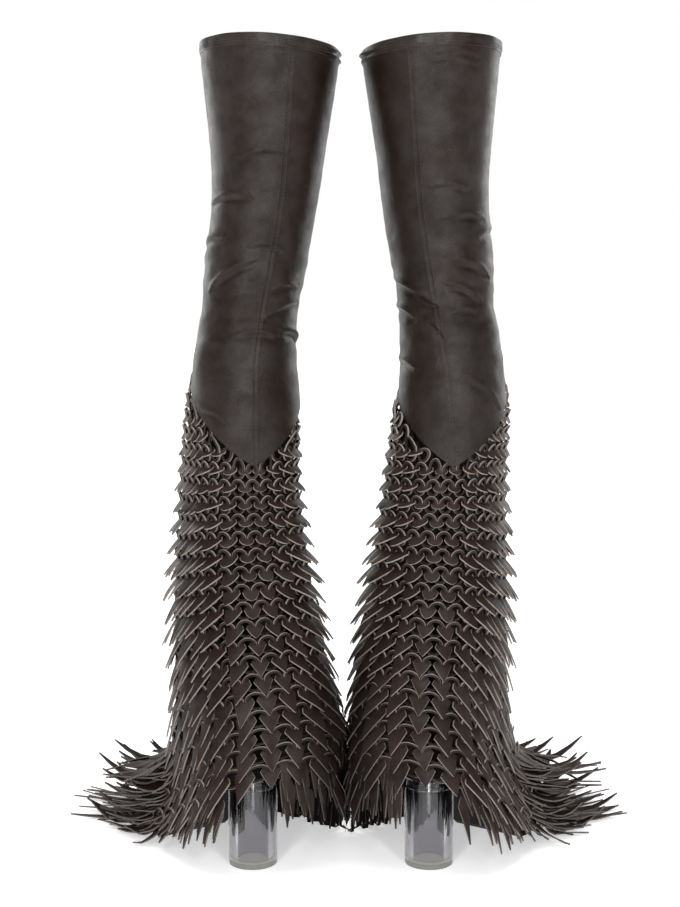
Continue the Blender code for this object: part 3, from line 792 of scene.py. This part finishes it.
def row_parts(boot, row):
    """One row: its rings, a doubled one, the tails at the cusps and those behind the rings, which are dark
    suede all over as painted shade in the gaps.
    """
    free = over_heel(row)
    rings = make_rings(boot, row, free)
    parts = [(rings, RING_TUBE)]
    if row % 2 and len(rings):
        parts.append((rings[-1:] + DOUBLE_UP * UP, RING_TUBE))
    columns = cusps(row)
    columns = columns[(np.abs(columns) > free) & (boot.below_edge(columns, row + 0.5) > 0.3)]
    shape = leaf_shape(boot, row, columns)
    parts.append((make_leaves(boot, row, columns, shape, LEAF_OUT), LEAF_TUBE))
    middle = gaps(row)[0]
    middle = middle[(np.abs(middle) > free) & (boot.below_edge(middle, row + 0.5) > 0.15)]
    flat = 0 * middle
    shape = flat + 0.014, flat, flat, flat
    behind = make_leaves(boot, row, middle, shape, BEHIND_OUT, width=0.6, above=0.75, wild=0.3)
    return parts + [(behind, PAINTED_SHADE_LEAF_TUBE)]


def mail(boot):
    """The rows of links, in tiers as in the CAD model."""
    tiers = [[] for _ in range(TIERS)]
    for row in range(ROWS):
        tiers[row * TIERS // ROWS] += row_parts(boot, row)
    for number, parts in enumerate(tiers):
        points, faces, look = gather(parts)
        made = piece(f"links_{number + 1}", boot, keep_apart(boot, points), faces,
                     [LINK, RAW, LINING], look, 35)
        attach(made, f"{boot.side}_boot")
        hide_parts(f"{boot.side}_mail_tier_{number + 1}")


def fringe_layer(boot, layer):
    """Tails that hang beside the heel and sweep outwards over the foot."""
    row = FRINGE_ROW + FRINGE_STEP * layer
    columns = cusps(ROWS - 1)
    columns = columns + 2 * gaps(ROWS - 1)[1] * boot.draws(len(columns), 0.1, 0.9)
    angle = TURN * columns / COLUMNS
    toewards = np.cos(angle - (pi - TOE_OUT))
    inside = smooth((np.sin(-angle) + 0.1) / 0.3)
    sweep = 0.97 * smooth((toewards - 0.15) / 0.55) * (1 - 0.55 * inside)
    sweep = sweep * smooth((row - 19.5) / 2.5)
    length = 0.03 + (0.064 * smooth((toewards - 0.5) / 0.45)) * (1 - 0.8 * inside)
    length = length * boot.draws(len(columns), 0.65, 1.3)
    start = boot.lattice(columns, row + 0.5, 0 * columns)
    hang = np.clip(start[:, 2] - 0.022 + 0.012 * inside, 0.014, 0.034)
    length = np.where(sweep < 0.5, hang * boot.draws(len(columns), 0.72, 1.12), length)
    beside = np.abs(start[:, 0]) > HEEL_RADIUS + 0.004
    keep = (np.abs(wrapped(angle)) > 1.1) | (beside & (row > 22.5))
    columns, sweep, length = columns[keep], sweep[keep], length[keep]
    lean = radians(8) + radians(14 + 24 * (1 - layer / FRINGE_LAYERS)) * sweep
    shape = length, lean, 0 * lean, 0.75 - 0.25 * sweep
    tails = make_leaves(boot, row, columns, shape, FRINGE_OUT, width=0.21 + 0.15 * sweep, sweep=sweep,
                        taper=0.66)
    return in_box(boot, tails)


def fringe(boot):
    layers = [(fringe_layer(boot, layer), LEAF_TUBE) for layer in range(FRINGE_LAYERS)]
    points, faces, look = gather(layers)
    made = piece("fringe", boot, keep_apart(boot, points), faces,
                 [LINK, WORN, LINING], look, 35)
    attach(made, f"{boot.side}_boot")
    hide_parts(f"{boot.side}_floor_fringe")


# ---- leather shaft ----
LEATHER = 0.0014
SHAFT_ROUND, SHAFT_ROWS = 260, 360
HEM_GAP, HEM_FADE = 0.004, 0.02  # the shaft ends under the hem and is smooth there

# folds in the leather: side-to-side places, from -1000 (inner edge) to 1000 (outer edge), and
# heights of both ends, relief, half width. A fold stands out above its line and sinks below
CREASES_UP, CREASE_RADIUS = 0.006, 0.055  # they lie higher; the leg's radius
CREASES = {"left": [
    (-350, 722, 350, 719, 1.4, 4.5),
    (250, 680, 950, 676, 1.6, 5),
    (50, 614, 750, 590, 2.4, 6),
    (-450, 627, 50, 630, 1.2, 4),
    (-950, 575, -450, 560, 2.6, 6),
    (-850, 590, -550, 588, 1.6, 4.5),
    (-600, 540, 100, 541, 1.2, 4.5),
    (-1000, 535, -750, 545, 3, 6),
    (300, 455, 750, 465, 0.7, 4),
    (700, 640, 1000, 634, 1.8, 6),
    (-350, 822.5, 100, 822, 0.7, 4),
], "right": [
    (-100, 689, 500, 688, 1.3, 4.5),
    (100, 658, 800, 660, 1.5, 4.5),
    (250, 615, 800, 603, 2.2, 5.5),
    (0, 592, 600, 577, 1.8, 5),
    (100, 563, 500, 566, 1.2, 4.5),
    (-1000, 600, -350, 574, 2.8, 6),
    (-1000, 570, -750, 560, 2.6, 5.5),
    (-500, 556, -200, 540, 1.4, 4.5),
    (-1000, 515, -750, 508, 2.6, 5.5),
    (300, 495, 800, 470, 1, 5),
    (700, 640, 1000, 650, 1.6, 6),
    (100, 818.5, 600, 818, 0.9, 4),
    (0, 809.5, 550, 809, 0.7, 3.6),
]}


def creased(boot, angle, z):
    """How far the leather stands out from the plain leg, in metres."""
    around = np.arcsin(np.clip(np.sin(angle), -1, 1)) * CREASE_RADIUS
    behind = smooth((np.cos(angle) + 0.35) / 0.5)
    stand = np.zeros(angle.shape)
    for a0, z0, a1, z1, depth, wide in MM * np.array(CREASES[boot.side]):
        start = np.array([asin(a0) * CREASE_RADIUS, z0 + CREASES_UP])
        span = np.array([asin(a1) * CREASE_RADIUS, z1 + CREASES_UP]) - start
        here = np.stack([around, z], -1) - start
        t = np.clip((here @ span) / (span @ span), 0, 1)
        bend = 0.003 * np.sin(pi * t)
        away = here - t[..., None] * span
        sign = np.sign(away @ np.array([-span[1], span[0]]) + 1e-12)
        x = (sign * np.linalg.norm(away, axis=-1) - bend) / (0.55 * wide)
        taper = np.sqrt(np.maximum(np.sin(pi * np.clip(0.08 + 0.84 * t, 0, 1)), 0))
        stand += behind * depth * taper * 0.85 * x * np.exp(0.5 - 0.5 * x * x)
    seam = boot.seam(z)
    for line in (seam, seam + pi):
        off = np.abs(wrapped(angle - line)) * along(boot.leg_table, z, LEG_WIDE)
        stand += 0.00022 * np.exp(-((off - 0.0025) / 0.0018) ** 2) - 0.0004 * np.exp(-(off / 0.0007) ** 2)
    return stand


def rumple(boot, angle, z):
    """Soft unevenness: stretched folds at the knee, long shallow ones on the thigh."""
    seed = 3.7 if boot.side == "left" else 9.1
    flat_angle, flat_z = angle.ravel(), z.ravel()
    made = np.empty(flat_angle.shape)
    for i, (a, h) in enumerate(zip(flat_angle.tolist(), flat_z.tolist())):
        x, y = sin(a) * 0.06, cos(a) * 0.06
        knee = exp(-((h - 0.585) / 0.075) ** 2)
        broad = noise.noise(Vector((x * 22 + seed, y * 22, h * 14)))
        folds = noise.noise(Vector((x * 26, y * 26 + seed, h * 75)))
        fine = noise.noise(Vector((x * 70, y * 70, h * 120 + seed)))
        made[i] = 0.0011 * broad + (0.0003 + 0.0012 * knee) * folds + (0.0001 + 0.0002 * knee) * fine
    return made.reshape(angle.shape)


def leather_stand(boot, angle, z):
    """The folds and the unevenness of the shaft, which end smoothly under the hem."""
    fade = smooth((boot.hem_edge(angle) - HEM_GAP - z) / HEM_FADE)
    return (creased(boot, angle, z) + rumple(boot, angle, z)) * fade


def on_leg(boot, angle, z, stand):
    point, _, _, normal = boot.frame(boot.leg, angle, z)
    return point + normal * stand[..., None]


def shaft(boot):
    angle = all_round(SHAFT_ROUND)
    low, high = boot.v_edge(angle), boot.hem_edge(angle) - HEM_GAP
    z = low + (high - low) * np.linspace(0, 1, SHAFT_ROWS)[:, None]
    angle = angle + 0 * z
    stand = leather_stand(boot, angle, z)
    edge = np.exp(-((z - low) / 0.003) ** 2)
    outer = on_leg(boot, angle, z, stand + 0.0002 * edge)
    inner = on_leg(boot, angle, z, stand - LEATHER)
    made = shell("shaft_leather", boot, outer, inner, [SHAFT, LINING, RAW])
    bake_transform(made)
    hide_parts(*(f"{boot.side}_{part}" for part in (
        "calf_outer_panel", "calf_inner_panel", "knee_leather", "thigh_outer_panel",
        "thigh_inner_panel")))


HEM_STEPS, HEM_STRAIGHT = 18, 0.7  # the straight part's share of the steps
HEM_HALF, HEM_STAND = 0.0019, 0.0006  # half its thickness; how far it stands out


def hem_stand(boot, angle, z):
    """The folded hem's small sags and bunches."""
    seed = 0.6 if boot.side == "left" else 2.3
    wave = 0.0007 * np.sin(5 * angle + seed) + 0.0005 * np.sin(11 * angle + 2 * seed)
    inner = np.exp(-((angle % TURN - 1.5 * pi) / 0.35) ** 2)
    return wave + inner * 0.0018 * np.sin((z - HEM_TOP) * 900 + seed)


def top_hem(boot):
    """The turned-over top edge: a rounded fold with a cut edge inside."""
    angle = all_round(SHAFT_ROUND)
    outer, inner = [], []
    for t in np.arange(HEM_STEPS + 1) / HEM_STEPS:
        over = max(t - HEM_STRAIGHT, 0) / (1 - HEM_STRAIGHT) * pi / 2
        z = boot.hem_edge(angle) - HEM_DEEP + (HEM_DEEP - HEM_HALF) * min(t / HEM_STRAIGHT, 1.0)
        z = z + HEM_HALF * sin(over)
        middle = hem_stand(boot, angle, z) * smooth(t / 0.25) + HEM_STAND - HEM_HALF
        outer.append(on_leg(boot, angle, z, middle + HEM_HALF * cos(over)))
        inner.append(on_leg(boot, angle, z, middle - HEM_HALF * cos(over) - 0.00001))
    made = shell("hem", boot, np.array(outer), np.array(inner), [HEM, HEM, RAW])
    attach(made, f"{boot.side}_thigh")
    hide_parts(f"{boot.side}_top_hem")


# ---- stitches ----
STITCH_SIDES, STITCH_RADIUS = 6, 0.00027
STITCH_PITCH, STITCH_LONG = 0.0037, 0.0029
STITCH_RINGS = ((0.0, 0.35, -0.2), (0.2, 1.0, 0.55), (0.8, 1.0, 0.55), (1.0, 0.35, -0.2))
STITCH_TUBE = tube(len(STITCH_RINGS), [0] * STITCH_SIDES)
SEAM_ROWS, HEM_ROWS, HEM_AROUND = (-0.0026, 0.0026), (0.0066, 0.0088), 0.452


def stitch_points(points, normals):
    """Short rounded stitches along a path of points, one for each pair of points."""
    start, end, normal = points[0::2], points[1::2], normals[0::2]
    side = np.cross(unit(end - start), normal)
    rings = []
    for t, size, lift in STITCH_RINGS:
        middle = start + (end - start) * t + normal * (lift * STITCH_RADIUS)
        for k in range(STITCH_SIDES):
            a = TURN * k / STITCH_SIDES
            rings.append(middle + (side * cos(a) + normal * sin(a)) * STITCH_RADIUS * size)
    return np.stack(rings, 1)


def stitches(boot, angle, z, stand):
    """Stitches at places on the leg, each from one place to the next."""
    normals = boot.frame(boot.leg, angle, z)[3]
    return stitch_points(on_leg(boot, angle, z, stand), normals), STITCH_TUBE


def seam_stitches(boot):
    """Two rows of topstitching beside the back seam and two beside the front seam."""
    parts = []
    for line in (0.0, pi):
        for off in SEAM_ROWS:
            start = float(boot.v_edge(boot.seam(V_LOW) + line)) + 0.004
            places = np.arange(start, HEM_TOP - HEM_DEEP - 0.003, STITCH_PITCH)
            z = np.stack([places, places + STITCH_LONG], 1).ravel()
            angle = boot.seam(z) + line + off / along(boot.leg_table, z, LEG_WIDE)
            parts.append(stitches(boot, angle, z, leather_stand(boot, angle, z)))
    points, faces, look = gather(parts)
    made = piece("seam_stitches", boot, points, faces, [THREAD], look)
    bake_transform(made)


def hem_stitches(boot):
    """Two rows of topstitching round the hem."""
    parts = []
    count = int(HEM_AROUND / STITCH_PITCH)
    for down in HEM_ROWS:
        places = all_round(count)
        angle = np.stack([places, places + TURN * STITCH_LONG / HEM_AROUND], 1).ravel()
        z = boot.hem_edge(angle) - down
        parts.append(stitches(boot, angle, z, hem_stand(boot, angle, z) + HEM_STAND))
    points, faces, look = gather(parts)
    made = piece("hem_stitches", boot, points, faces, [THREAD], look)
    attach(made, f"{boot.side}_thigh")


# ---- inside the shaft, and the foot ----
INNER_ROUND = 160
SLEEVE_INSIDE, SLEEVE_THICK, SLEEVE_ROWS = 0.01, 0.001, 150
GRIP_DEEP, GRIP_THICK, GRIP_WAVE, GRIP_ROWS = 0.032, 0.0006, 0.008, 40
FOOT_THICK, FOOT_ROWS = 0.0016, 60


def knit_sleeve(boot):
    """The knit sleeve behind the links, from the ankle to the knee."""
    angle = all_round(INNER_ROUND)
    z = np.linspace(ANKLE_TOP + 0.0012, KNEE_LOW - 0.0003, SLEEVE_ROWS)[:, None] + 0 * angle
    angle = angle + 0 * z
    soft = 0.0006 * np.sin(9 * angle + 40 * z) * np.sin(130 * z) * smooth((0.4 - z) / 0.05)
    made = shell("knit_sleeve", boot, on_leg(boot, angle, z, soft - SLEEVE_INSIDE),
                 on_leg(boot, angle, z, soft - SLEEVE_INSIDE - SLEEVE_THICK), [KNIT] * 3)
    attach(made, f"{boot.side}_boot")
    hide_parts(f"{boot.side}_inner_sleeve")


def grip(boot):
    """The band of wavy ribs inside the top."""
    angle = all_round(INNER_ROUND)
    edge = boot.hem_edge(angle) - HEM_DEEP - 0.0003
    z = edge - GRIP_DEEP + GRIP_DEEP * np.linspace(0, 1, GRIP_ROWS)[:, None]
    angle = angle + 0 * z
    ribs = 0.5 + 0.5 * np.sin((z - edge) * TURN / GRIP_WAVE + 0.8 * np.sin(24 * angle))
    inside = LEATHER + 0.0009 + 0 * z
    made = shell("grip", boot, on_leg(boot, angle, z, -inside),
                 on_leg(boot, angle, z, -inside - GRIP_THICK - 0.00035 * ribs), [GRIP] * 3)
    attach(made, f"{boot.side}_thigh")
    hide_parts(f"{boot.side}_grip_band")


def foot_leather(boot):
    """The foot's upper, from the sole to the ankle, with folds at the instep."""
    share = np.arange(INNER_ROUND) / INNER_ROUND
    height = np.linspace(0.0, 1.0, FOOT_ROWS)[:, None] + 0 * share
    point, _, _, normal = boot.frame(boot.foot, share + 0 * height, height)
    fold = 0.0008 * np.sin(height * 40) * smooth((height - 0.5) / 0.3) * smooth((1 - height) / 0.1)
    made = shell("foot_leather", boot, point + normal * fold[..., None],
                 point + normal * (fold - FOOT_THICK)[..., None], [VAMP, LINING, LINING])
    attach(made, f"{boot.side}_boot")
    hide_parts(f"{boot.side}_foot_upper")


# ---- the heel ----
HEEL_LOW, HEEL_EDGE, HEEL_ROUND = 0.0057, 0.0007, 96
CORE_RADIUS, CORE_HIGH = 0.016, 0.08


def corner(radius, z, first, last):
    """A quarter round of a profile, round a middle, between two angles in degrees."""
    angles = np.radians(np.linspace(first, last, 7))
    return [(radius + HEEL_EDGE * cos(a), z + HEEL_EDGE * sin(a)) for a in angles]


def clear_heel(boot):
    """A turned acrylic cylinder with softened rims and a hollow core. Its foot wraps the
    lift's top by a hair, so that the lift shows through it without an air gap."""
    outside, inside = HEEL_RADIUS - HEEL_EDGE, CORE_RADIUS - HEEL_EDGE
    profile = corner(inside, CORE_HIGH - HEEL_EDGE, 90, 0) + [(CORE_RADIUS, HEEL_LOW)]
    profile += corner(outside, HEEL_LOW + HEEL_EDGE, -90, 0)
    profile += corner(outside, HEEL_TOP - HEEL_EDGE, 0, 90)
    turn = all_round(HEEL_ROUND)
    points = [CORE_HIGH * UP[None], HEEL_TOP * UP[None]]
    for radius, z in profile:
        points.append(np.stack([radius * np.cos(turn), radius * np.sin(turn), z + 0 * turn], -1))
    last = 2 + (len(profile) - 1) * HEEL_ROUND
    faces = []
    for k in range(HEEL_ROUND):
        after = (k + 1) % HEEL_ROUND
        faces.append((0, 2 + after, 2 + k))
        for low in range(2, last, HEEL_ROUND):
            faces.append((low + k, low + after, low + HEEL_ROUND + after, low + HEEL_ROUND + k))
        faces.append((1, last + k, last + after))
    made = piece("clear_heel", boot, np.concatenate(points), faces, [CLEAR],
                 np.zeros(len(faces)), 40)
    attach(made, f"{boot.side}_boot")
    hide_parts(f"{boot.side}_heel")


# ---- the scene ----
def dress_cad():
    for side in SIDES:
        for part, look in CAD_LOOKS.items():
            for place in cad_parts[f"{side}_{part}"].material_slots:
                place.material = look


FLOOR_HALF, FLOOR_LOW = 30.0, -0.0002
WHITE = (1.0, 1.0, 1.0, 1)
LIGHTS = (  # name, place, target, width, height, power
    ("key", (-0.75, -2.75, 1.5), (0, 0, 0.45), 0.45, 2.2, 41.0),
    ("fill", (0.95, -2.7, 1.5), (0, 0, 0.45), 0.45, 2.2, 34.0),
    ("overhead", (0.0, -0.2, 2.6), (0, 0, 0.3), 2.0, 1.6, 34.0),
    ("far_left", (-1.9, 2.3, 1.5), (0, 0, 0.4), 1.0, 2.0, 22.0),
    ("far_right", (1.9, 2.3, 1.5), (0, 0, 0.4), 1.0, 2.0, 22.0),
)
CAMERA_PLACE, CAMERA_DOWN = (-0.005, -1.665, 0.566), radians(5.07)
CAMERA_LENS, CAMERA_SENSOR = 60.85, 36.0


def pale_floor():
    """A white floor whose glow grows away from the boots, so that no edge shows."""
    mesh = bpy.data.meshes.new("floor")
    corners = ((-1, -1), (1, -1), (1, 1), (-1, 1))
    mesh.from_pydata([(FLOOR_HALF * x, FLOOR_HALF * y, 0) for x, y in corners], [], [(0, 1, 2, 3)])
    floor = add_object("floor", mesh)
    floor.location.z = FLOOR_LOW
    made, shader, tree = new_material("pale_floor")
    away = add_node(tree, "VectorMath", {})
    away.operation = "LENGTH"
    fill(away, {"Vector": place_in(tree)})
    fill(shader, {
        "Base Color": mixed(tree, object_noise(tree, 1.2), (0.9, 0.9, 0.9), (0.92, 0.92, 0.92)),
        "Roughness": 0.55,
        "Specular IOR Level": 0.25,
        "Emission Color": WHITE,
        "Emission Strength": mixed(tree, away.outputs["Value"], 0.46, 0.9, 0.5, 2.4),
    })
    mesh.materials.append(made)


def studio_world():
    """White behind the boots and round about, dim above, and darker in two upright bands
    that give the clear heels their dark edges."""
    world = bpy.data.worlds.new("studio")
    bpy.context.scene.world = world
    world.use_nodes = True
    tree = world.node_tree
    way = split(tree, place_in(tree, "Generated"))
    behind = mixed(tree, way["Y"], 0.0, 1.0, 0.78, 0.92)
    round_about = mixed(tree, way["Z"], 1.0, 0.0, 0.3, 0.42)
    level = mixed(tree, math_node(tree, "MAXIMUM", behind, round_about), 0.18, 1.0, 0.0, 1.0)
    sideways = math_node(tree, "ABSOLUTE", way["X"])
    flag = math_node(tree, "MULTIPLY", mixed(tree, sideways, 0.0, 1.0, 0.58, 0.63),
                     mixed(tree, sideways, 1.0, 0.0, 0.72, 0.77))
    flag = math_node(tree, "MULTIPLY", flag, mixed(tree, way["Y"], 0.0, 1.0, 0.0, 0.3))
    shaded = mixed(tree, flag, 1.0, 0.06, 0.0, 1.0)
    fill(tree.nodes["Background"], {
        "Color": WHITE, "Strength": math_node(tree, "MULTIPLY", level, shaded),
    })


def lights():
    for name, place, target, wide, tall, power in LIGHTS:
        light = bpy.data.lights.new(name, "AREA")
        light.shape, light.size, light.size_y, light.energy = "RECTANGLE", wide, tall, power
        lamp = add_object(name, light)
        lamp.location = place
        lamp.rotation_euler = (Vector(target) - Vector(place)).to_track_quat("-Z", "Y").to_euler()


def camera():
    made = add_object("camera", bpy.data.cameras.new("camera"))
    made.data.sensor_width, made.data.lens = CAMERA_SENSOR, CAMERA_LENS
    made.location = CAMERA_PLACE
    made.rotation_euler = (pi / 2 - CAMERA_DOWN, 0.0, 0.0)
    bpy.context.scene.camera = made
    bpy.context.scene.view_settings.view_transform = "Standard"


for side in SIDES:
    boot = Boot(side)
    for make in (shaft, seam_stitches, hem_stitches, top_hem, knit_sleeve, grip, foot_leather,
                 clear_heel, mail, fringe):
        make(boot)
dress_cad()
pale_floor()
studio_world()
lights()
camera()
